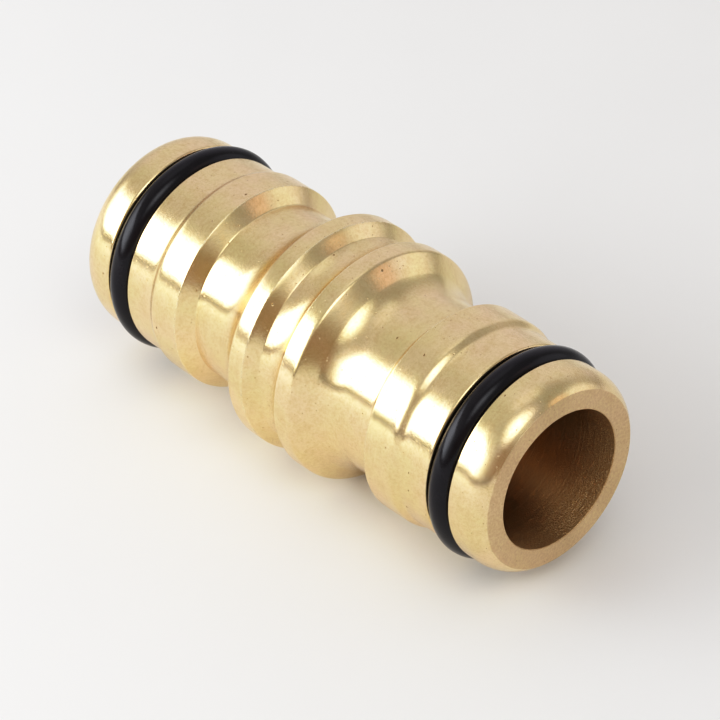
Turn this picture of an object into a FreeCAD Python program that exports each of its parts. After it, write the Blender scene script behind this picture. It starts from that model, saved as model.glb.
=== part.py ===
import FreeCAD, Part
import math
import os
import Sketcher

# Two-way hose coupler: one turned brass body, bored through, with an O-ring
# in a groove near each end. Millimetres. X is the bore axis, +X the front end,
# +Z up, origin on the axis at mid-length. The fitting lies on its side, on its
# two collar ridges. Front and rear halves are mirror images.

V = FreeCAD.Vector
doc = FreeCAD.newDocument("two_way_coupler")

# ---------------------------------------------------------------- dimensions
# "x" values are distances from mid-length along the bore axis, "rad" values
# are radii from that axis.
DIMS = [
    ("half_length", 21.50, "mid-length to the flat end face"),
    ("bore_rad", 5.50, "water way"),
    ("bore_edge_break", 0.06, "deburring of the two bore mouths"),
    ("face_rad", 7.03, "outer edge of the flat end face"),
    ("face_chamfer_x", 21.25, "inner end of the small end chamfer"),
    ("face_chamfer_rad", 7.30, "its radius there"),
    ("nose_rad", 7.93, "nose cylinder"),
    ("nose_round_rad", 2.45, "large rounding of the nose"),
    ("gland_outer_x", 18.30, "O-ring groove wall on the nose side"),
    ("gland_inner_x", 16.17, "O-ring groove wall on the land side"),
    ("gland_floor_rad", 6.33, "O-ring groove floor"),
    ("gland_corner_rad", 0.10, "radius at the groove floor"),
    ("nose_corner_rad", 0.22, "rounded edge between nose and groove"),
    ("land_corner_rad", 0.20, "rounded edge between land and groove"),
    ("land_rad", 7.94, "sealing land"),
    ("bead_step_x1", 13.36, "land side of the smooth step up to the bead"),
    ("bead_step_x0", 12.87, "bead side of the step"),
    ("bead_rad", 8.30, "locking bead"),
    ("bead_inner_x", 10.26, "sharp latch edge of the bead"),
    ("latch_cone_x", 9.31, "foot of the latch cone"),
    ("neck_rad", 7.14, "latch neck"),
    ("neck_inner_x", 6.45, "where the neck runs into the fillet"),
    ("ridge_fillet_x", 4.34, "top of the fillet"),
    ("ridge_fillet_rad", 7.94, "radius at the top of the fillet"),
    ("ridge_outer_x", 3.24, "outer corner of the collar ridge"),
    ("ridge_corner_rad", 0.42, "rounding of that corner"),
    ("ridge_rad", 9.25, "collar ridge, the largest radius"),
    ("ridge_inner_x", 1.795, "crisp inner edge of the ridge"),
    ("mid_cone_x", 0.98, "where the middle cone meets the round floor"),
    ("mid_cone_rad", 8.34, "radius there"),
    ("mid_floor_rad", 8.17, "floor of the middle groove"),
    ("ring_section", 2.00, "O-ring cord diameter"),
    ("ring_outer_rad", 8.34, "O-ring outside radius when fitted"),
    ("front_ring_x", 17.27, "centre of the front O-ring"),
    ("rear_ring_x", 17.20, "centre of the rear O-ring, towards -X"),
]
sheet = doc.addObject("Spreadsheet::Sheet", "dimensions")
sheet.Label = "dimensions"
D = {}
for row, (alias, value, note) in enumerate(DIMS, start=1):
    sheet.set("A%d" % row, alias)
    sheet.set("B%d" % row, "%.4f" % value)
    sheet.set("C%d" % row, note)
    sheet.setAlias("B%d" % row, alias)
    D[alias] = value
doc.recompute()


def plane(body, role):
    for feature in body.Origin.OriginFeatures:
        if feature.Role == role:
            return feature
    raise RuntimeError("no plane " + role)


def new_sketch(body, name, role="XY_Plane"):
    sketch = body.newObject("Sketcher::SketchObject", name)
    sketch.AttachmentSupport = [(plane(body, role), "")]
    sketch.MapMode = "FlatFace"
    return sketch


class Section:
    """A closed half-section in the XY plane. Each corner is held by its two
    distances from the origin, and each arc by its ends and its radius."""

    def __init__(self, sketch):
        self.sketch = sketch
        self.path = []          # (index, (x, y) start, (x, y) end)
        self.point = None
        self.first = None
        self.pins = []          # (geometry, position, x expression, y expression)

    def _value(self, text):
        return float(eval_expression(text))

    def start(self, ex, ey):
        self.point = (self._value(ex), self._value(ey))
        self.first = self.point
        self.point_expr = (ex, ey)
        self.first_expr = (ex, ey)

    def line(self, ex, ey):
        end = (self._value(ex), self._value(ey))
        index = self.sketch.addGeometry(
            Part.LineSegment(V(self.point[0], self.point[1], 0), V(end[0], end[1], 0)), False)
        self._join(index, end, (ex, ey), reverse=False)
        return index

    def arc(self, ex, ey, erad, bulge):
        """Arc from the current point to (ex, ey). bulge +1 puts the centre on
        the right of the chord, -1 on the left."""
        end = (self._value(ex), self._value(ey))
        rad = self._value(erad)
        (x0, y0), (x1, y1) = self.point, end
        chord = math.hypot(x1 - x0, y1 - y0)
        rise = math.sqrt(max(rad * rad - chord * chord / 4.0, 0.0))
        nx, ny = (y1 - y0) / chord, -(x1 - x0) / chord     # right of the chord
        cx = (x0 + x1) / 2.0 + bulge * rise * nx
        cy = (y0 + y1) / 2.0 + bulge * rise * ny
        a0 = math.atan2(y0 - cy, x0 - cx)
        a1 = math.atan2(y1 - cy, x1 - cx)
        clockwise = bulge > 0
        if clockwise:
            a0, a1 = a1, a0
        while a1 < a0:
            a1 += 2 * math.pi
        index = self.sketch.addGeometry(
            Part.ArcOfCircle(Part.Circle(V(cx, cy, 0), V(0, 0, 1), rad), a0, a1), False)
        self._join(index, end, (ex, ey), reverse=clockwise)
        constraint = self.sketch.addConstraint(Sketcher.Constraint("Radius", index, rad))
        self.sketch.setExpression("Constraints[%d]" % constraint, bind(erad))
        return index

    def _join(self, index, end, expr, reverse):
        head, tail = (2, 1) if reverse else (1, 2)
        if self.path:
            previous, previous_tail = self.path[-1]
            self.sketch.addConstraint(
                Sketcher.Constraint("Coincident", previous, previous_tail, index, head))
        else:
            self.pins.append((index, head, self.point, self.point_expr))
        self.path.append((index, tail))
        if end != self.first:
            self.pins.append((index, tail, end, expr))
        self.point = end
        self.point_expr = expr

    def close(self):
        index, tail = self.path[-1]
        first = self.path[0][0]
        head = self.pins[0][1]
        self.sketch.addConstraint(Sketcher.Constraint("Coincident", index, tail, first, head))
        for geometry, position, (x, y), (ex, ey) in self.pins:
            for kind, value, expr in (("DistanceX", x, ex), ("DistanceY", y, ey)):
                if abs(value) < 1e-9:
                    # a point on the mid-plane or on the axis
                    kind_on = -2 if kind == "DistanceX" else -1
                    self.sketch.addConstraint(
                        Sketcher.Constraint("PointOnObject", geometry, position, kind_on))
                    continue
                constraint = self.sketch.addConstraint(
                    Sketcher.Constraint(kind, -1, 1, geometry, position, value))
                self.sketch.setExpression("Constraints[%d]" % constraint, bind(expr))


def split_terms(text):
    """Terms of a plain sum such as 'a - b + 0.5'."""
    out, sign = [], 1.0
    for word in text.split():
        if word == "+":
            sign = 1.0
        elif word == "-":
            sign = -1.0
        else:
            factor = 1.0
            if word[0] == "-":
                factor, word = -1.0, word[1:]
            out.append((sign * factor, word))
            sign = 1.0
    return out


def eval_expression(text):
    total = 0.0
    for factor, word in split_terms(text):
        total += factor * (D[word] if word in D else float(word))
    return total


def bind(text):
    """The same sum, reading the sheet's cells."""
    parts = []
    for factor, word in split_terms(text):
        name = "dimensions." + word if word in D else word
        parts.append(("-" if factor < 0 else "+") + name)
    joined = " ".join(parts)
    return joined[1:] if joined.startswith("+") else joined


# --------------------------------------------------------------- turned_body
body = doc.addObject("PartDesign::Body", "turned_body")
body.Label = "turned_body"

# Front half of the turned blank, from mid-length to the end face, solid to
# the axis. Walked from the mid-plane outwards.
blank = new_sketch(body, "blank_section")
s = Section(blank)
s.start("0", "0")
s.line("0", "mid_floor_rad")
# The round floor of the middle groove is level at mid-length, and meets its
# cones at a slight angle.
mid_dx, mid_dy = D["mid_cone_x"], D["mid_cone_rad"] - D["mid_floor_rad"]
D["mid_floor_round"] = (mid_dx ** 2 + mid_dy ** 2) / (2 * mid_dy)
fil_dx = D["neck_inner_x"] - D["ridge_fillet_x"]
fil_dy = D["ridge_fillet_rad"] - D["neck_rad"]
D["neck_fillet_round"] = (fil_dx ** 2 + fil_dy ** 2) / (2 * fil_dy)
nose_h = D["face_chamfer_rad"] - (D["nose_rad"] - D["nose_round_rad"])
D["nose_round_x"] = D["face_chamfer_x"] - math.sqrt(D["nose_round_rad"] ** 2 - nose_h ** 2)
# Derived cells keep those arcs level where they should be when a driving cell
# changes.
row = len(DIMS) + 1
for alias, formula, note in (
        ("mid_floor_round",
         "=(mid_cone_x^2 + (mid_cone_rad - mid_floor_rad)^2) / (2 * (mid_cone_rad - mid_floor_rad))",
         "radius of the middle groove's round floor, level at mid-length"),
        ("neck_fillet_round",
         "=((neck_inner_x - ridge_fillet_x)^2 + (ridge_fillet_rad - neck_rad)^2)"
         " / (2 * (ridge_fillet_rad - neck_rad))",
         "radius of the fillet from the neck to the ridge, tangent to the neck"),
        ("nose_round_x",
         "=face_chamfer_x - sqrt(nose_round_rad^2"
         " - (face_chamfer_rad - nose_rad + nose_round_rad)^2)",
         "where the nose rounding leaves the nose cylinder")):
    sheet.set("A%d" % row, alias)
    sheet.set("B%d" % row, formula)
    sheet.set("C%d" % row, note)
    sheet.setAlias("B%d" % row, alias)
    row += 1
doc.recompute()

s.arc("mid_cone_x", "mid_cone_rad", "mid_floor_round", -1)
s.line("ridge_inner_x", "ridge_rad")
s.line("ridge_outer_x", "ridge_rad")
s.line("ridge_fillet_x", "ridge_fillet_rad")
s.arc("neck_inner_x", "neck_rad", "neck_fillet_round", -1)
s.line("latch_cone_x", "neck_rad")
s.line("bead_inner_x", "bead_rad")
s.line("bead_step_x0", "bead_rad")
s.line("bead_step_x1", "land_rad")
s.line("gland_inner_x", "land_rad")
s.line("gland_outer_x", "nose_rad")
s.line("nose_round_x", "nose_rad")
s.arc("face_chamfer_x", "face_chamfer_rad", "nose_round_rad", +1)
s.line("half_length", "face_rad")
s.line("half_length", "0")
s.line("0", "0")
s.close()
doc.recompute()

half = body.newObject("PartDesign::Revolution", "half_blank")
half.Profile = blank
half.ReferenceAxis = (blank, ["H_Axis"])
half.Angle = 360.0
blank.Visibility = False
doc.recompute()
blank_volume = half.Shape.Volume

# O-ring groove, cut into the blank. Its two outer edges flare with a small
# radius, and its floor corners have one too.
gland = new_sketch(body, "gland_section")
g = Section(gland)
g.start("gland_inner_x - land_corner_rad", "land_rad")
g.arc("gland_inner_x", "land_rad - land_corner_rad", "land_corner_rad", +1)
g.line("gland_inner_x", "gland_floor_rad + gland_corner_rad")
g.arc("gland_inner_x + gland_corner_rad", "gland_floor_rad", "gland_corner_rad", -1)
g.line("gland_outer_x - gland_corner_rad", "gland_floor_rad")
g.arc("gland_outer_x", "gland_floor_rad + gland_corner_rad", "gland_corner_rad", -1)
g.line("gland_outer_x", "nose_rad - nose_corner_rad")
g.arc("gland_outer_x + nose_corner_rad", "nose_rad", "nose_corner_rad", +1)
g.line("gland_outer_x + nose_corner_rad", "ridge_rad")
g.line("gland_inner_x - land_corner_rad", "ridge_rad")
g.line("gland_inner_x - land_corner_rad", "land_rad")
g.close()
doc.recompute()

gland_cut = body.newObject("PartDesign::Groove", "o_ring_gland")
gland_cut.Profile = gland
gland_cut.ReferenceAxis = (gland, ["H_Axis"])
gland_cut.Angle = 360.0
gland.Visibility = False
doc.recompute()
assert gland_cut.Shape.Volume < blank_volume - 50.0, "the O-ring groove cut nothing"

# Rounded outer corner of the collar ridge: the only circle of the ridge
# radius at the ridge's outer x.
corner = None
for number, edge in enumerate(gland_cut.Shape.Edges, start=1):
    curve = edge.Curve
    if (curve.TypeId == "Part::GeomCircle"
            and abs(curve.Radius - D["ridge_rad"]) < 1e-4
            and abs(curve.Center.x - D["ridge_outer_x"]) < 1e-4):
        corner = "Edge%d" % number
assert corner, "the ridge corner was not found"
ridge_round = body.newObject("PartDesign::Fillet", "ridge_corner")
ridge_round.Base = (gland_cut, [corner])
ridge_round.setExpression("Radius", "dimensions.ridge_corner_rad")
doc.recompute()

# Softened edges of the step up to the locking bead.
step_edges = []
for number, edge in enumerate(ridge_round.Shape.Edges, start=1):
    curve = edge.Curve
    if curve.TypeId == "Part::GeomCircle":
        for x, rad in ((D["bead_step_x0"], D["bead_rad"]), (D["bead_step_x1"], D["land_rad"])):
            if abs(curve.Radius - rad) < 1e-4 and abs(curve.Center.x - x) < 1e-4:
                step_edges.append("Edge%d" % number)
assert len(step_edges) == 2, "the bead step was not found"
step_round = body.newObject("PartDesign::Fillet", "bead_step_round")
step_round.Base = (ridge_round, step_edges)
step_round.Radius = 0.45
doc.recompute()
half_volume = step_round.Shape.Volume

# The rear half mirrors the front half.
mirror = body.newObject("PartDesign::Mirrored", "rear_half")
mirror.TransformMode = "Whole shape"
mirror.MirrorPlane = (plane(body, "YZ_Plane"), [""])
body.Tip = mirror
doc.recompute()
assert abs(mirror.Shape.Volume - 2 * half_volume) < 0.02, "the mirrored half is not whole"

# Through bore with deburred mouths.
bore = new_sketch(body, "bore_section")
b = Section(bore)
b.start("-half_length", "0")
b.line("-half_length", "bore_rad + bore_edge_break")
b.line("-half_length + bore_edge_break", "bore_rad")
b.line("half_length - bore_edge_break", "bore_rad")
b.line("half_length", "bore_rad + bore_edge_break")
b.line("half_length", "0")
b.line("-half_length", "0")
b.close()
doc.recompute()

water_way = body.newObject("PartDesign::Groove", "water_way")
water_way.Profile = bore
water_way.ReferenceAxis = (bore, ["H_Axis"])
water_way.Angle = 360.0
bore.Visibility = False
body.Tip = water_way
doc.recompute()
bored = mirror.Shape.Volume - water_way.Shape.Volume
assert abs(bored - math.pi * D["bore_rad"] ** 2 * 2 * D["half_length"]) < 1.0, "the bore is not through"

# ------------------------------------------------------------------- O-rings
# Each ring is a round cord bent to a circle, stretched onto the groove floor.


def o_ring(name, position):
    ring = doc.addObject("Part::Torus", name)
    ring.Label = name
    ring.setExpression("Radius1", "dimensions.ring_outer_rad - dimensions.ring_section / 2")
    ring.setExpression("Radius2", "dimensions.ring_section / 2")
    ring.Placement = FreeCAD.Placement(V(0, 0, 0), FreeCAD.Rotation(V(0, 1, 0), 90))
    ring.setExpression("Placement.Base.x", position)
    return ring


front_ring = o_ring("front_o_ring", "dimensions.front_ring_x")
rear_ring = o_ring("rear_o_ring", "-dimensions.rear_ring_x")
doc.recompute()

# -------------------------------------------------------------------- checks
parts = [body, front_ring, rear_ring]
for obj in doc.Objects:
    bad = [word for word in obj.State if word in ("Invalid", "Error")]
    if bad:
        raise RuntimeError("%s is %s" % (obj.Name, bad))
for part in parts:
    shape = part.Shape
    if shape.isNull() or not shape.isValid() or len(shape.Solids) != 1:
        raise RuntimeError(part.Label + " has no single valid solid")
for ring in (front_ring, rear_ring):
    overlap = body.Shape.common(ring.Shape).Volume
    assert overlap < 1e-4, ring.Label + " overlaps the body"

os.makedirs("parts", exist_ok=True)
for part in parts:
    part.Shape.exportStep(os.path.join("parts", part.Label + ".step"))
    box = part.Shape.BoundBox
    print("%-14s volume %9.3f mm3  x %.3f..%.3f  y %.3f..%.3f  z %.3f..%.3f" % (
        part.Label, part.Shape.Volume, box.XMin, box.XMax, box.YMin, box.YMax, box.ZMin, box.ZMax))
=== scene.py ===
import math

import bpy
import numpy as np
from mathutils import Matrix, Vector


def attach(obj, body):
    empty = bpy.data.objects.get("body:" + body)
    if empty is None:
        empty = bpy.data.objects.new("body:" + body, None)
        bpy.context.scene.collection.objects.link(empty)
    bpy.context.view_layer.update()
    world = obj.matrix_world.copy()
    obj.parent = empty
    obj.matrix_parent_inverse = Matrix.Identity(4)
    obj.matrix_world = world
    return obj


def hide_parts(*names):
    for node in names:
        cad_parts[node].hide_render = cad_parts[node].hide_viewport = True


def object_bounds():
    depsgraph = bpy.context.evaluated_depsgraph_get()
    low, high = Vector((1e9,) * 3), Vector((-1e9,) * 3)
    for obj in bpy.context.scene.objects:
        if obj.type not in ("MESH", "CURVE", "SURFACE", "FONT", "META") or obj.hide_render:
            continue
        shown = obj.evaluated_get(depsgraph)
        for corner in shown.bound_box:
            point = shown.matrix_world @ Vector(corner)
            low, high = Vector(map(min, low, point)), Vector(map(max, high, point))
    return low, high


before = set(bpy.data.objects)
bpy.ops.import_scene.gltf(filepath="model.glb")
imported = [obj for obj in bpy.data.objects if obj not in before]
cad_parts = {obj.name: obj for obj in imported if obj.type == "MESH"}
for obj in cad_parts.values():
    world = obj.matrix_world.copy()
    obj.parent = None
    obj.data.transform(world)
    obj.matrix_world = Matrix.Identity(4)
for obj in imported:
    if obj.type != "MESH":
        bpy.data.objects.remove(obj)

CAD_BOX = [list(c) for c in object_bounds()]
MM = 0.001
scene = bpy.context.scene

# ------------------------------------------------------------------ profile
# Half-section of the brass body, millimetres, x from mid-length outwards and
# r from the bore axis. It is the CAD half-section, walked from the middle
# groove to the end face and back along the bore.


def arc_through(x0, r0, x1, r1, rad, bulge, n):
    """Points of an arc from (x0, r0) to (x1, r1); bulge +1 puts its centre on
    the right of the chord, -1 on the left."""
    chord = math.hypot(x1 - x0, r1 - r0)
    rise = math.sqrt(max(rad * rad - chord * chord / 4, 0))
    nx, nr = (r1 - r0) / chord, -(x1 - x0) / chord
    cx, cr = (x0 + x1) / 2 + bulge * rise * nx, (r0 + r1) / 2 + bulge * rise * nr
    a0, a1 = math.atan2(r0 - cr, x0 - cx), math.atan2(r1 - cr, x1 - cx)
    if bulge > 0:
        while a1 > a0:
            a1 -= 2 * math.pi
    else:
        while a1 < a0:
            a1 += 2 * math.pi
    return [(cx + rad * math.cos(a0 + (a1 - a0) * k / n), cr + rad * math.sin(a0 + (a1 - a0) * k / n))
            for k in range(1, n + 1)]


def half_section():
    p = [(0.0, 8.17)]
    rad = (0.98 ** 2 + 0.17 ** 2) / (2 * 0.17)
    p += arc_through(0, 8.17, 0.98, 8.34, rad, -1, 24)
    p += [(1.795, 9.25)]
    # rounded outer corner of the collar ridge
    th = math.atan2(9.25 - 7.94, 4.34 - 3.24)
    rr = 0.42
    cx = 3.24 - rr * math.tan(th / 2)
    p += [(cx + rr * math.sin(t), 9.25 - rr + rr * math.cos(t)) for t in np.linspace(0, th, 13)]
    p += [(4.34, 7.94)]
    rad = (2.11 ** 2 + 0.80 ** 2) / (2 * 0.80)
    p += arc_through(4.34, 7.94, 6.45, 7.14, rad, -1, 30)
    p += [(9.31, 7.14), (10.26, 8.30), (12.87, 8.30), (13.36, 7.94), (15.97, 7.94)]
    p += arc_through(15.97, 7.94, 16.17, 7.74, 0.20, +1, 10)
    p += [(16.17, 6.33), (18.30, 6.33), (18.30, 7.71)]
    p += arc_through(18.30, 7.71, 18.52, 7.93, 0.22, +1, 9)
    h = 7.30 - (7.93 - 2.45)
    xs = 21.25 - math.sqrt(2.45 ** 2 - h * h)
    p += [(xs, 7.93)]
    p += arc_through(xs, 7.93, 21.25, 7.30, 2.45, +1, 28)
    p += [(21.50, 7.03), (21.50, 5.56), (21.44, 5.50), (0.0, 5.50)]
    return p


# softness of single corners, as the standard deviation of the rounding in mm
SOFT_CORNERS = {(12.87, 8.30): 0.17, (13.36, 7.94): 0.17, (21.44, 5.50): 0.012, (21.50, 5.56): 0.012,
                (9.31, 7.14): 0.05, (6.45, 7.14): 0.10, (21.25, 7.30): 0.020, (21.50, 7.03): 0.020}
PLAIN_CORNER = 0.026


def smooth_profile(points, step=0.01):
    """Resamples the section, rounds its corners a little, and returns
    positions, outward normals and the length along the section."""
    pts = np.array(points)
    seg = np.hypot(*np.diff(pts, axis=0).T)
    keep = np.r_[True, seg > 1e-9]
    pts = pts[keep]
    seg = np.hypot(*np.diff(pts, axis=0).T)
    s = np.r_[0, np.cumsum(seg)]
    n = int(s[-1] / step)
    t = np.linspace(0, s[-1], n + 1)
    h = t[1] - t[0]
    x, r = np.interp(t, s, pts[:, 0]), np.interp(t, s, pts[:, 1])
    sigma = np.full(n + 1, PLAIN_CORNER)
    for (cx, cr), sd in SOFT_CORNERS.items():
        d = np.hypot(x - cx, r - cr)
        w = np.exp(-(d / max(3.2 * sd, 0.10)) ** 4)
        sigma = sigma * (1 - w) + sd * w
    lam = (sigma / h) ** 2
    rounds = int(math.ceil(lam.max() / 0.45))
    lam = lam / rounds
    for _ in range(rounds):
        for c in (x, r):
            lap = np.zeros_like(c)
            lap[1:-1] = 0.5 * (c[:-2] + c[2:]) - c[1:-1]
            c += 2 * lam * lap * 0.5 * 2 * 0.5
        # the ends lie on the mid-plane, where the section is level
        r[0] = r[1]
        r[-1] = r[-2]
    tx, tr = np.gradient(x), np.gradient(r)
    length = np.hypot(tx, tr)
    nx, nr = -tr / length, tx / length
    return x, r, nx, nr, t


def thin_out(x, r, nx, nr, t, angle_deg=3.0, longest=0.42):
    """Keeps the points that the curve's shape needs."""
    a = np.unwrap(np.arctan2(nr, nx))
    keep = [0]
    for i in range(1, len(x) - 1):
        j = keep[-1]
        if abs(a[i] - a[j]) > math.radians(angle_deg) or t[i] - t[j] > longest:
            keep.append(i)
    keep.append(len(x) - 1)
    k = np.array(keep)
    return x[k], r[k], nx[k], nr[k]


def mirrored(x, r, nx, nr):
    """The whole section, from the rear bore at mid-length round the rear end,
    the outside and the front end, back to the bore at mid-length."""
    xs = np.r_[-x[::-1], x[1:]]
    rs = np.r_[r[::-1], r[1:]]
    nxs = np.r_[-nx[::-1], nx[1:]]
    nrs = np.r_[nr[::-1], nr[1:]]
    # the first and last points are the same point of the bore
    return xs[:-1], rs[:-1], nxs[:-1], nrs[:-1]


def lathe(name, xs, rs, nxs, nrs, segments, bend=None):
    """Turns a closed section about X. bend, if given, changes the positions
    (x, r, angle) -> (x, r) and leaves the normals to the mesh."""
    n, m = len(xs), segments
    ang = np.linspace(0, 2 * math.pi, m, endpoint=False)
    X = np.repeat(xs[:, None], m, 1)
    R = np.repeat(rs[:, None], m, 1)
    A = np.repeat(ang[None, :], n, 0)
    if bend is not None:
        X, R = bend(X, R, A)
    co = np.stack([X, R * np.cos(A), R * np.sin(A)], -1).reshape(-1, 3) * MM
    i = np.arange(n)[:, None]
    j = np.arange(m)[None, :]
    i2, j2 = (i + 1) % n, (j + 1) % m
    quads = np.stack([i * m + j, i * m + j2, i2 * m + j2, i2 * m + j], -1).reshape(-1, 4)
    mesh = bpy.data.meshes.new(name)
    mesh.vertices.add(len(co))
    mesh.vertices.foreach_set("co", co.astype(np.float32).ravel())
    mesh.loops.add(quads.size)
    mesh.loops.foreach_set("vertex_index", quads.astype(np.int32).ravel())
    mesh.polygons.add(len(quads))
    mesh.polygons.foreach_set("loop_start", np.arange(0, quads.size, 4, dtype=np.int32))
    mesh.update(calc_edges=True)
    mesh.validate()
    # outward faces
    p0 = mesh.polygons[0]
    want = np.array([nxs[0], nrs[0] * math.cos(0), nrs[0] * math.sin(0)])
    mesh.update()
    if Vector(want).dot(p0.normal) < 0:
        mesh.flip_normals()
    mesh.polygons.foreach_set("use_smooth", np.ones(len(mesh.polygons), bool))
    NX = np.repeat(nxs[:, None], m, 1)
    NR = np.repeat(nrs[:, None], m, 1)
    nor = np.stack([NX, NR * np.cos(A), NR * np.sin(A)], -1).reshape(-1, 3)
    mesh.normals_split_custom_set_from_vertices(nor.tolist())
    obj = bpy.data.objects.new(name, mesh)
    scene.collection.objects.link(obj)
    return obj


# ---------------------------------------------------------------- node tools
class Tree:
    def __init__(self, material):
        material.use_nodes = True
        self.t = material.node_tree
        self.t.nodes.clear()

    def node(self, kind, **props):
        n = self.t.nodes.new(kind)
        for k, v in props.items():
            if k in n.bl_rna.properties:
                setattr(n, k, v)
        return n

    def link(self, a, b):
        self.t.links.new(a, b)

    def math(self, op, a, b=None, c=None, clamp=False):
        n = self.t.nodes.new("ShaderNodeMath")
        n.operation = op
        n.use_clamp = clamp
        for i, v in enumerate((a, b, c)):
            if v is None:
                continue
            if isinstance(v, (int, float)):
                n.inputs[i].default_value = v
            else:
                self.link(v, n.inputs[i])
        return n.outputs[0]

    def ramp(self, fac, stops, mode="LINEAR"):
        n = self.t.nodes.new("ShaderNodeValToRGB")
        n.color_ramp.interpolation = mode
        e = n.color_ramp.elements
        while len(e) > 1:
            e.remove(e[-1])
        e[0].position, e[0].color = stops[0][0], stops[0][1]
        for pos, col in stops[1:]:
            q = e.new(pos)
            q.color = col
        self.link(fac, n.inputs[0])
        return n.outputs[0]

    def map_range(self, value, a, b, c, d, smooth=False):
        n = self.t.nodes.new("ShaderNodeMapRange")
        n.interpolation_type = "SMOOTHSTEP" if smooth else "LINEAR"
        n.clamp = True
        for i, v in enumerate((value, a, b, c, d)):
            if isinstance(v, (int, float)):
                n.inputs[i].default_value = v
            else:
                self.link(v, n.inputs[i])
        return n.outputs[0]

    def mix(self, fac, a, b, blend="MIX"):
        n = self.t.nodes.new("ShaderNodeMix")
        n.data_type = "RGBA"
        n.blend_type = blend
        n.clamp_factor = True
        fi, ai, bi = n.inputs[0], n.inputs[6], n.inputs[7]
        for s, v in ((fi, fac), (ai, a), (bi, b)):
            if isinstance(v, (int, float)):
                s.default_value = v
            elif isinstance(v, tuple):
                s.default_value = v
            else:
                self.link(v, s)
        return n.outputs[2]

    def noise(self, vector=None, w=None, scale=1.0, detail=2.0, rough=0.5, dims="3D", distortion=0.0):
        n = self.t.nodes.new("ShaderNodeTexNoise")
        n.noise_dimensions = dims
        n.inputs["Scale"].default_value = scale
        n.inputs["Detail"].default_value = detail
        n.inputs["Roughness"].default_value = rough
        n.inputs["Distortion"].default_value = distortion
        if vector is not None:
            self.link(vector, n.inputs["Vector"])
        if w is not None:
            self.link(w, n.inputs["W"])
        return n.outputs["Fac"] if "Fac" in n.outputs else n.outputs[0]

    def voronoi(self, vector, scale, feature="F1", randomness=1.0):
        n = self.t.nodes.new("ShaderNodeTexVoronoi")
        n.feature = feature
        n.inputs["Scale"].default_value = scale
        n.inputs["Randomness"].default_value = randomness
        self.link(vector, n.inputs["Vector"])
        return n.outputs["Distance"], n.outputs["Color"]

    def bump(self, height, strength, distance, normal=None):
        n = self.t.nodes.new("ShaderNodeBump")
        n.inputs["Strength"].default_value = strength
        n.inputs["Distance"].default_value = distance
        self.link(height, n.inputs["Height"])
        if normal is not None:
            self.link(normal, n.inputs["Normal"])
        return n.outputs[0]


def cylinder_coords(T):
    """Object position in mm, its x, radius and angle about the bore axis."""
    tc = T.node("ShaderNodeTexCoord")
    sc = T.node("ShaderNodeVectorMath", operation="SCALE")
    sc.inputs["Scale"].default_value = 1000.0
    T.link(tc.outputs["Object"], sc.inputs[0])
    pos = sc.outputs[0]
    sep = T.node("ShaderNodeSeparateXYZ")
    T.link(pos, sep.inputs[0])
    x, y, z = sep.outputs
    r = T.math("SQRT", T.math("ADD", T.math("MULTIPLY", y, y), T.math("MULTIPLY", z, z)))
    ang = T.math("ARCTAN2", z, y)
    return pos, x, y, z, r, ang


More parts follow.
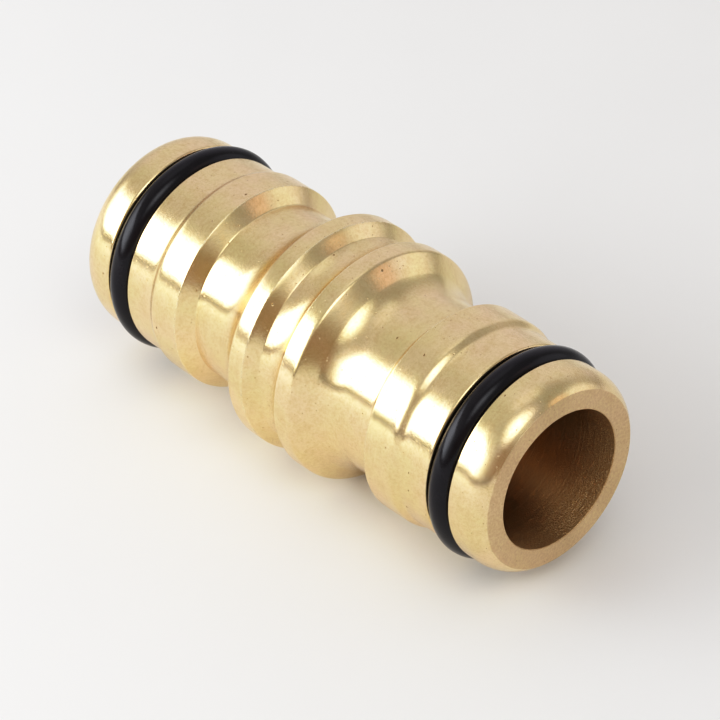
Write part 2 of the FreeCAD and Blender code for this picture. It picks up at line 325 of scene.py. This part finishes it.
# ------------------------------------------------------------------- brass
def brass_material():
    m = bpy.data.materials.new("turned_brass")
    T = Tree(m)
    pos, x, y, z, r, ang = cylinder_coords(T)
    ax = T.math("ABSOLUTE", x)

    # where on the turning this is
    in_bore = T.map_range(r, 5.60, 5.52, 0.0, 1.0, smooth=True)
    depth = T.math("SUBTRACT", 21.5, ax)
    near_mouth = T.map_range(depth, 0.4, 6.0, 1.0, 0.0, smooth=True)
    on_face = T.math("MULTIPLY", T.map_range(ax, 21.44, 21.49, 0.0, 1.0, smooth=True),
                     T.map_range(r, 5.50, 5.60, 0.0, 1.0, smooth=True))

    # helical tool marks: a coordinate that runs along the section, and creeps
    # by one feed with each turn
    along = T.math("ADD", x, T.math("MULTIPLY", r, 0.9))
    helix = T.math("ADD", along, T.math("MULTIPLY", ang, 0.09 / (2 * math.pi)))
    marks_fine = T.noise(w=helix, scale=9.0, detail=3.0, rough=0.65, dims="1D")
    marks_wide = T.noise(w=helix, scale=1.7, detail=2.0, rough=0.5, dims="1D")
    # short scratches and rubs that run round the turning
    around = T.node("ShaderNodeCombineXYZ")
    T.link(T.math("MULTIPLY", along, 7.0), around.inputs[0])
    T.link(T.math("MULTIPLY", y, 0.8), around.inputs[1])
    T.link(T.math("MULTIPLY", z, 0.8), around.inputs[2])
    rubs = T.noise(vector=around.outputs[0], scale=1.0, detail=4.0, rough=0.65)

    # broad patches of slightly different polish and tarnish
    patches = T.noise(vector=pos, scale=0.30, detail=3.0, rough=0.55)
    clouds = T.noise(vector=pos, scale=1.15, detail=5.0, rough=0.62)
    mottle = T.noise(vector=pos, scale=4.6, detail=4.0, rough=0.68)
    grain = T.noise(vector=pos, scale=17.0, detail=3.0, rough=0.7)

    # pits left by the cast bar: sparse small dark specks, some smeared along
    # the cut
    smear = T.node("ShaderNodeCombineXYZ")
    T.link(T.math("MULTIPLY", x, 1.5), smear.inputs[0])
    T.link(y, smear.inputs[1])
    T.link(z, smear.inputs[2])
    d1, c1 = T.voronoi(smear.outputs[0], 0.92)
    pick1 = T.node("ShaderNodeSeparateColor")
    T.link(c1, pick1.inputs[0])
    size1 = T.map_range(pick1.outputs[0], 0.62, 1.0, 0.01, 0.125)
    pit1 = T.math("MULTIPLY",
                  T.map_range(T.math("SUBTRACT", d1, size1), -0.05, 0.025, 1.0, 0.0, smooth=True),
                  T.map_range(pick1.outputs[0], 0.62, 0.64, 0.0, 1.0))
    d2, c2 = T.voronoi(pos, 2.5)
    pick2 = T.node("ShaderNodeSeparateColor")
    T.link(c2, pick2.inputs[0])
    pit2 = T.math("MULTIPLY",
                  T.map_range(d2, 0.06, 0.17, 1.0, 0.0, smooth=True),
                  T.map_range(pick2.outputs[1], 0.70, 0.72, 0.0, 1.0))
    pits = T.math("MAXIMUM", T.math("MULTIPLY", pit1, 0.85), T.math("MULTIPLY", pit2, 0.55))

    # colour: pale yellow brass, greener where it is clean and browner where it
    # has been handled
    base = T.ramp(patches, [(0.36, (0.865, 0.730, 0.415, 1)), (0.50, (0.890, 0.732, 0.445, 1)),
                            (0.64, (0.915, 0.730, 0.475, 1))])
    base = T.mix(T.map_range(clouds, 0.44, 0.68, 0.0, 0.48), base, (0.775, 0.590, 0.325, 1))
    base = T.mix(T.map_range(mottle, 0.46, 0.72, 0.0, 0.50), base, (0.715, 0.545, 0.275, 1))
    base = T.mix(T.map_range(rubs, 0.52, 0.78, 0.0, 0.34), base, (0.985, 0.835, 0.560, 1))
    base = T.mix(T.map_range(grain, 0.42, 0.66, 0.0, 0.34), base, (0.640, 0.470, 0.235, 1))
    # the end face is painted a darker, mottled brown: partly its own turned finish, partly painted shade
    base = T.mix(T.math("MULTIPLY", on_face, T.map_range(mottle, 0.36, 0.66, 0.30, 0.85)), base,
                 (0.690, 0.500, 0.315, 1))
    # the crisp edges are painted brighter here and there: partly rubbed wear, partly a painted glint along the edge
    edge_a = T.math("MULTIPLY", T.map_range(T.math("ABSOLUTE", T.math("SUBTRACT", ax, 1.80)), 0.03, 0.11, 1.0, 0.0),
                    T.map_range(r, 9.16, 9.22, 0.0, 1.0))
    edge_b = T.math("MULTIPLY", T.map_range(T.math("ABSOLUTE", T.math("SUBTRACT", ax, 10.27)), 0.03, 0.10, 1.0, 0.0),
                    T.map_range(r, 8.22, 8.27, 0.0, 1.0))
    edge_spots = T.map_range(mottle, 0.44, 0.62, 0.0, 1.0, smooth=True)
    edge_wear_and_glint = T.math("MULTIPLY", T.math("MAXIMUM", edge_a, edge_b), edge_spots)
    base = T.mix(T.math("MULTIPLY", edge_wear_and_glint, 0.65), base, (1.0, 0.90, 0.66, 1))
    base = T.mix(T.math("MULTIPLY", pits, 0.78), base, (0.25, 0.135, 0.050, 1))
    # the bore is painted a darker brown: painted shade inside the hole
    base = T.mix(T.math("MULTIPLY", in_bore, 0.90), base, (0.640, 0.420, 0.215, 1))
    # small bright specks near the mouth of the bore: partly chips that the drill tore, partly painted sparkle
    chips_and_sparkle = T.noise(vector=pos, scale=9.0, detail=3.0, rough=0.7)
    chips_and_sparkle = T.math("MULTIPLY", T.map_range(chips_and_sparkle, 0.54, 0.62, 0.0, 1.0, smooth=True),
                   T.math("MULTIPLY", in_bore, T.map_range(depth, 0.2, 4.5, 1.0, 0.0, smooth=True)))
    base = T.mix(T.math("MULTIPLY", chips_and_sparkle, 0.80), base, (0.985, 0.800, 0.500, 1))

    # roughness
    rough = T.math("ADD", 0.205, T.math("MULTIPLY", T.math("SUBTRACT", patches, 0.5), 0.07))
    rough = T.math("ADD", rough, T.math("MULTIPLY", T.math("SUBTRACT", clouds, 0.5), 0.08))
    rough = T.math("ADD", rough, T.math("MULTIPLY", T.math("SUBTRACT", mottle, 0.5), 0.08))
    rough = T.math("ADD", rough, T.math("MULTIPLY", T.math("SUBTRACT", marks_fine, 0.5), 0.04))
    rough = T.math("ADD", rough, T.math("MULTIPLY", pits, 0.30))
    rough = T.math("ADD", rough, T.math("MULTIPLY", edge_wear_and_glint, 0.16))
    rough = T.math("ADD", rough, T.math("MULTIPLY", on_face, 0.24))
    rough = T.math("ADD", rough, T.math("MULTIPLY", in_bore, 0.14), clamp=True)

    # relief
    drill = T.noise(vector=pos, scale=7.5, detail=3.0, rough=0.6)
    reamer = T.noise(w=T.math("ADD", T.math("MULTIPLY", x, 2.1), T.math("MULTIPLY", ang, 0.55)), scale=1.3,
                     detail=3.0, rough=0.6, dims="1D")
    n = T.bump(marks_fine, 0.35, 0.0000030)
    n = T.bump(marks_wide, 0.30, 0.000005, n)
    n = T.bump(grain, 0.50, 0.0000040, n)
    n = T.bump(mottle, 0.45, 0.0000090, n)
    n = T.bump(clouds, 0.30, 0.000012, n)
    n = T.bump(T.math("MULTIPLY", pits, -1.0), 0.6, 0.00003, n)
    n = T.bump(T.math("MULTIPLY", reamer, in_bore), 0.45, 0.00008, n)
    n = T.bump(T.math("MULTIPLY", drill, T.math("MULTIPLY", in_bore, near_mouth)), 0.8, 0.00011, n)

    b = T.node("ShaderNodeBsdfPrincipled")
    b.inputs["Metallic"].default_value = 1.0
    b.inputs["Specular Tint"].default_value = (1.0, 0.98, 0.98, 1.0)
    # the marks run round the turning, so the gloss spreads along it
    b.inputs["Anisotropic"].default_value = 0.86
    b.inputs["Anisotropic Rotation"].default_value = 0.25
    tangent = T.node("ShaderNodeTangent")
    tangent.direction_type = "RADIAL"
    tangent.axis = "X"
    T.link(tangent.outputs[0], b.inputs["Tangent"])
    T.link(base, b.inputs["Base Color"])
    T.link(rough, b.inputs["Roughness"])
    T.link(n, b.inputs["Normal"])
    out = T.node("ShaderNodeOutputMaterial")
    T.link(b.outputs[0], out.inputs[0])
    return m


# ------------------------------------------------------------------ rubber
def rubber_material(seed):
    m = bpy.data.materials.new("o_ring_rubber_%d" % seed)
    T = Tree(m)
    pos, x, y, z, r, ang = cylinder_coords(T)
    shift = T.node("ShaderNodeVectorMath", operation="ADD")
    shift.inputs[1].default_value = (seed * 7.3, seed * 3.1, 0.0)
    T.link(pos, shift.inputs[0])
    p = shift.outputs[0]
    cloud = T.noise(vector=p, scale=0.8, detail=4.0, rough=0.6)
    fine = T.noise(vector=p, scale=14.0, detail=3.0, rough=0.65)
    smear = T.noise(vector=p, scale=2.6, detail=5.0, rough=0.7)
    d, c = T.voronoi(p, 1.5)
    pick = T.node("ShaderNodeSeparateColor")
    T.link(c, pick.inputs[0])
    dust = T.math("MULTIPLY", T.map_range(d, 0.035, 0.075, 1.0, 0.0, smooth=True),
                  T.map_range(pick.outputs[0], 0.90, 0.92, 0.0, 1.0))
    base = T.ramp(cloud, [(0.30, (0.0080, 0.0060, 0.0078, 1)), (0.70, (0.0130, 0.0100, 0.0126, 1))])
    base = T.mix(T.map_range(smear, 0.55, 0.80, 0.0, 0.30), base, (0.018, 0.017, 0.020, 1))
    base = T.mix(T.math("MULTIPLY", dust, 0.55), base, (0.16, 0.15, 0.14, 1))
    rough = T.math("ADD", 0.165, T.math("MULTIPLY", T.math("SUBTRACT", smear, 0.5), 0.16))
    rough = T.math("ADD", rough, T.math("MULTIPLY", dust, 0.3), clamp=True)
    n = T.bump(fine, 0.30, 0.000004)
    n = T.bump(cloud, 0.35, 0.00004, n)
    n = T.bump(dust, 0.4, 0.00002, n)
    b = T.node("ShaderNodeBsdfPrincipled")
    b.inputs["IOR"].default_value = 1.42
    b.inputs["Specular Tint"].default_value = (0.90, 0.93, 1.0, 1.0)
    T.link(base, b.inputs["Base Color"])
    T.link(rough, b.inputs["Roughness"])
    T.link(n, b.inputs["Normal"])
    out = T.node("ShaderNodeOutputMaterial")
    T.link(b.outputs[0], out.inputs[0])
    return m


# -------------------------------------------------------------- brass body
x, r, nx, nr, t = smooth_profile(half_section())
x, r, nx, nr = thin_out(x, r, nx, nr, t)
xs, rs, nxs, nrs = mirrored(x, r, nx, nr)
body = lathe("brass_body", xs, rs, nxs, nrs, 288)
body.data.materials.append(brass_material())
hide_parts("turned_body")
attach(body, "root")


# ------------------------------------------------------------------ O-rings
def ring_section(x0, outer, cord, n):
    """A round cord whose section is a plain circle, its outside at the given radius."""
    a = np.linspace(0, 2 * math.pi, n, endpoint=False) + math.pi / 2
    rad = cord / 2
    px = np.cos(a) * rad
    pr = np.sin(a) * rad
    nx_, nr_ = np.cos(a), np.sin(a)
    return x0 + px, outer - rad + pr, nx_, nr_


def make_ring(name, node, x0, seed):
    sx, sr, snx, snr = ring_section(x0, 8.34, 2.0, 64)
    # walked clockwise or not, the lathe flips the faces outward itself
    ring = lathe(name, sx, sr, snx, snr, 224)
    ring.data.materials.append(rubber_material(seed))
    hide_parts(node)
    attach(ring, "root")
    return ring


make_ring("front_seal", "front_o_ring", 17.27, 1)
make_ring("rear_seal", "rear_o_ring", -17.20, 2)

# ------------------------------------------------------------------ camera
AZ, EL = math.radians(47.304), math.radians(36.383)
FOCAL_PX, DIST = 4010.8, 293.27
OFFSET = (-0.5911, -0.9765)          # the centre, right and down of the lens axis, mm
right = Vector((math.cos(AZ), math.sin(AZ), 0))
back = Vector((math.sin(AZ) * math.cos(EL), -math.cos(AZ) * math.cos(EL), math.sin(EL)))
up = back.cross(right)
cam_data = bpy.data.cameras.new("camera")
cam = bpy.data.objects.new("camera", cam_data)
scene.collection.objects.link(cam)
cam_data.sensor_fit = "HORIZONTAL"
cam_data.sensor_width = 36.0
cam_data.lens = FOCAL_PX / 720.0 * 36.0
cam_data.clip_start, cam_data.clip_end = 0.01, 20.0
place = (back * DIST - right * OFFSET[0] + up * OFFSET[1]) * MM
cam.matrix_world = Matrix(((right.x, up.x, back.x, place.x), (right.y, up.y, back.y, place.y),
                           (right.z, up.z, back.z, place.z), (0, 0, 0, 1)))
scene.camera = cam

# ------------------------------------------------------------------- floor
FLOOR_Z = CAD_BOX[0][2] - 0.00001


def make_floor():
    n = 48
    half = 1.6
    mesh = bpy.data.meshes.new("floor")
    g = np.linspace(-half, half, n + 1)
    co = np.array([(a, b, FLOOR_Z) for a in g for b in g])
    quads = [(i * (n + 1) + j, (i + 1) * (n + 1) + j, (i + 1) * (n + 1) + j + 1, i * (n + 1) + j + 1)
             for i in range(n) for j in range(n)]
    mesh.from_pydata(co.tolist(), [], quads)
    obj = bpy.data.objects.new("floor", mesh)
    scene.collection.objects.link(obj)
    m = bpy.data.materials.new("pale_floor")
    T = Tree(m)
    tc = T.node("ShaderNodeTexCoord")
    f = T.noise(vector=tc.outputs["Object"], scale=40.0, detail=3.0, rough=0.5)
    col = T.ramp(f, [(0.3, (0.858, 0.859, 0.860, 1)), (0.7, (0.878, 0.879, 0.880, 1))])
    b = T.node("ShaderNodeBsdfPrincipled")
    b.inputs["Roughness"].default_value = 0.9
    b.inputs["Specular IOR Level"].default_value = 0.1
    T.link(col, b.inputs["Base Color"])
    out = T.node("ShaderNodeOutputMaterial")
    T.link(b.outputs[0], out.inputs[0])
    mesh.materials.append(m)
    return obj


make_floor()


# ------------------------------------------------------------------ lights
def direction(az_deg, el_deg):
    a, e = math.radians(az_deg), math.radians(el_deg)
    return Vector((math.cos(a) * math.cos(e), math.sin(a) * math.cos(e), math.sin(e)))


def softbox(name, az_deg, el_deg, wide_deg, tall_deg, radiance, colour, dist=1.0, roll_deg=0.0,
            soft=(0.05, 0.05, 0.05, 0.05), fade=1.0):
    """A rectangular soft light seen from the object at that bearing, height
    and angular size. soft gives the part of its width and height over which
    it fades at its two sides, its bottom and its top."""
    d = direction(az_deg, el_deg)
    data = bpy.data.lights.new(name, "AREA")
    data.shape = "RECTANGLE"
    data.size = 2 * dist * math.tan(math.radians(wide_deg / 2))
    data.size_y = 2 * dist * math.tan(math.radians(tall_deg / 2))
    data.energy = radiance * math.pi * data.size * data.size_y
    data.color = colour
    data.use_nodes = True
    T = Tree(data)
    geo = T.node("ShaderNodeNewGeometry")
    uv = T.node("ShaderNodeSeparateXYZ")
    T.link(geo.outputs["Parametric"], uv.inputs[0])
    u, w = uv.outputs[0], uv.outputs[1]
    level = 1.0
    for value, lo, hi in ((u, soft[0], soft[1]), (w, soft[2], soft[3])):
        level = T.math("MULTIPLY", T.map_range(value, 0.0, lo, 0.0, 1.0, smooth=True), level)
        level = T.math("MULTIPLY", T.map_range(value, 1.0 - hi, 1.0, 1.0, 0.0, smooth=True), level)
    level = T.math("POWER", level, fade)
    em = T.node("ShaderNodeEmission")
    T.link(level, em.inputs["Strength"])
    out = T.node("ShaderNodeOutputLight")
    T.link(em.outputs[0], out.inputs[0])
    obj = bpy.data.objects.new(name, data)
    scene.collection.objects.link(obj)
    obj.location = d * dist
    q = d.to_track_quat("Z", "Y")
    q.rotate(Matrix.Rotation(math.radians(roll_deg), 3, d).to_quaternion())
    obj.rotation_mode = "QUATERNION"
    obj.rotation_quaternion = q
    obj.visible_camera = False
    return obj


softbox("key_softbox", -127.0, 23.0, 102.0, 33.0, 4.4, (0.98, 0.99, 1.0), dist=0.22, soft=(0.50, 0.46, 0.06, 0.16),
        fade=1.5)
softbox("top_softbox", -27.0, 53.0, 56.0, 50.0, 3.0, (1.0, 0.985, 0.95), soft=(0.50, 0.50, 0.50, 0.50), fade=1.2)

# The room round the table: an even pale grey, lighter on the backdrop's side,
# and darker and warmer on the side that the camera stands on.
world = bpy.data.worlds.new("studio")
scene.world = world
W = Tree(world)
gen = W.node("ShaderNodeTexCoord")


def zone(az_deg, el_deg, inner_deg, outer_deg):
    dot = W.node("ShaderNodeVectorMath", operation="DOT_PRODUCT")
    W.link(gen.outputs["Generated"], dot.inputs[0])
    dot.inputs[1].default_value = direction(az_deg, el_deg)
    return W.map_range(dot.outputs["Value"], math.cos(math.radians(outer_deg)),
                       math.cos(math.radians(inner_deg)), 0.0, 1.0, smooth=True)


room = W.mix(zone(-165.0, 55.0, 8.0, 42.0), (0.42, 0.415, 0.405, 1), (0.600, 0.590, 0.560, 1))
room = W.mix(zone(150.0, 76.0, 8.0, 24.0), room, (0.85, 0.85, 0.85, 1))
room = W.mix(zone(135.0, 26.0, 10.0, 50.0), room, (0.720, 0.695, 0.740, 1))
room = W.mix(zone(-98.0, 22.0, 8.0, 38.0), room, (0.80, 0.79, 0.75, 1))
room = W.mix(zone(-38.0, 6.0, 12.0, 34.0), room, (0.34, 0.255, 0.190, 1))
room = W.mix(zone(58.0, 16.0, 6.0, 24.0), room, (0.96, 0.94, 0.96, 1))
room = W.mix(zone(36.0, 28.0, 3.0, 12.0), room, (0.96, 0.74, 0.66, 1))
# the far edge of the table shows as a thin dark line
height = W.node("ShaderNodeSeparateXYZ")
W.link(gen.outputs["Generated"], height.inputs[0])
line = W.math("MULTIPLY", W.map_range(height.outputs[2], -0.02, -0.005, 0.0, 1.0, smooth=True),
              W.map_range(height.outputs[2], 0.060, 0.110, 1.0, 0.0, smooth=True))
line = W.math("MULTIPLY", line, zone(-115.0, 2.0, 55.0, 95.0))
room = W.mix(W.math("MULTIPLY", line, 0.88), room, (0.20, 0.175, 0.150, 1))
bg = W.node("ShaderNodeBackground")
W.link(room, bg.inputs[0])
bg.inputs[1].default_value = 1.0
wo = W.node("ShaderNodeOutputWorld")
W.link(bg.outputs[0], wo.inputs[0])

scene.view_settings.view_transform = "Standard"
scene.view_settings.look = "None"
scene.view_settings.exposure = 0.0
scene.view_settings.gamma = 1.0
# a camera's usual tone curve: darker shadows, gentle highlights
scene.view_settings.use_curve_mapping = True
tone = scene.view_settings.curve_mapping
tone.use_clip = False
tone.extend = "EXTRAPOLATED"
curve = tone.curves[3]
curve.points[0].location = (0.0, 0.0)
curve.points[-1].location = (1.0, 0.985)
for a, b in ((0.05, 0.028), (0.15, 0.112), (0.30, 0.272), (0.50, 0.525), (0.75, 0.815)):
    curve.points.new(a, b)
tone.update()
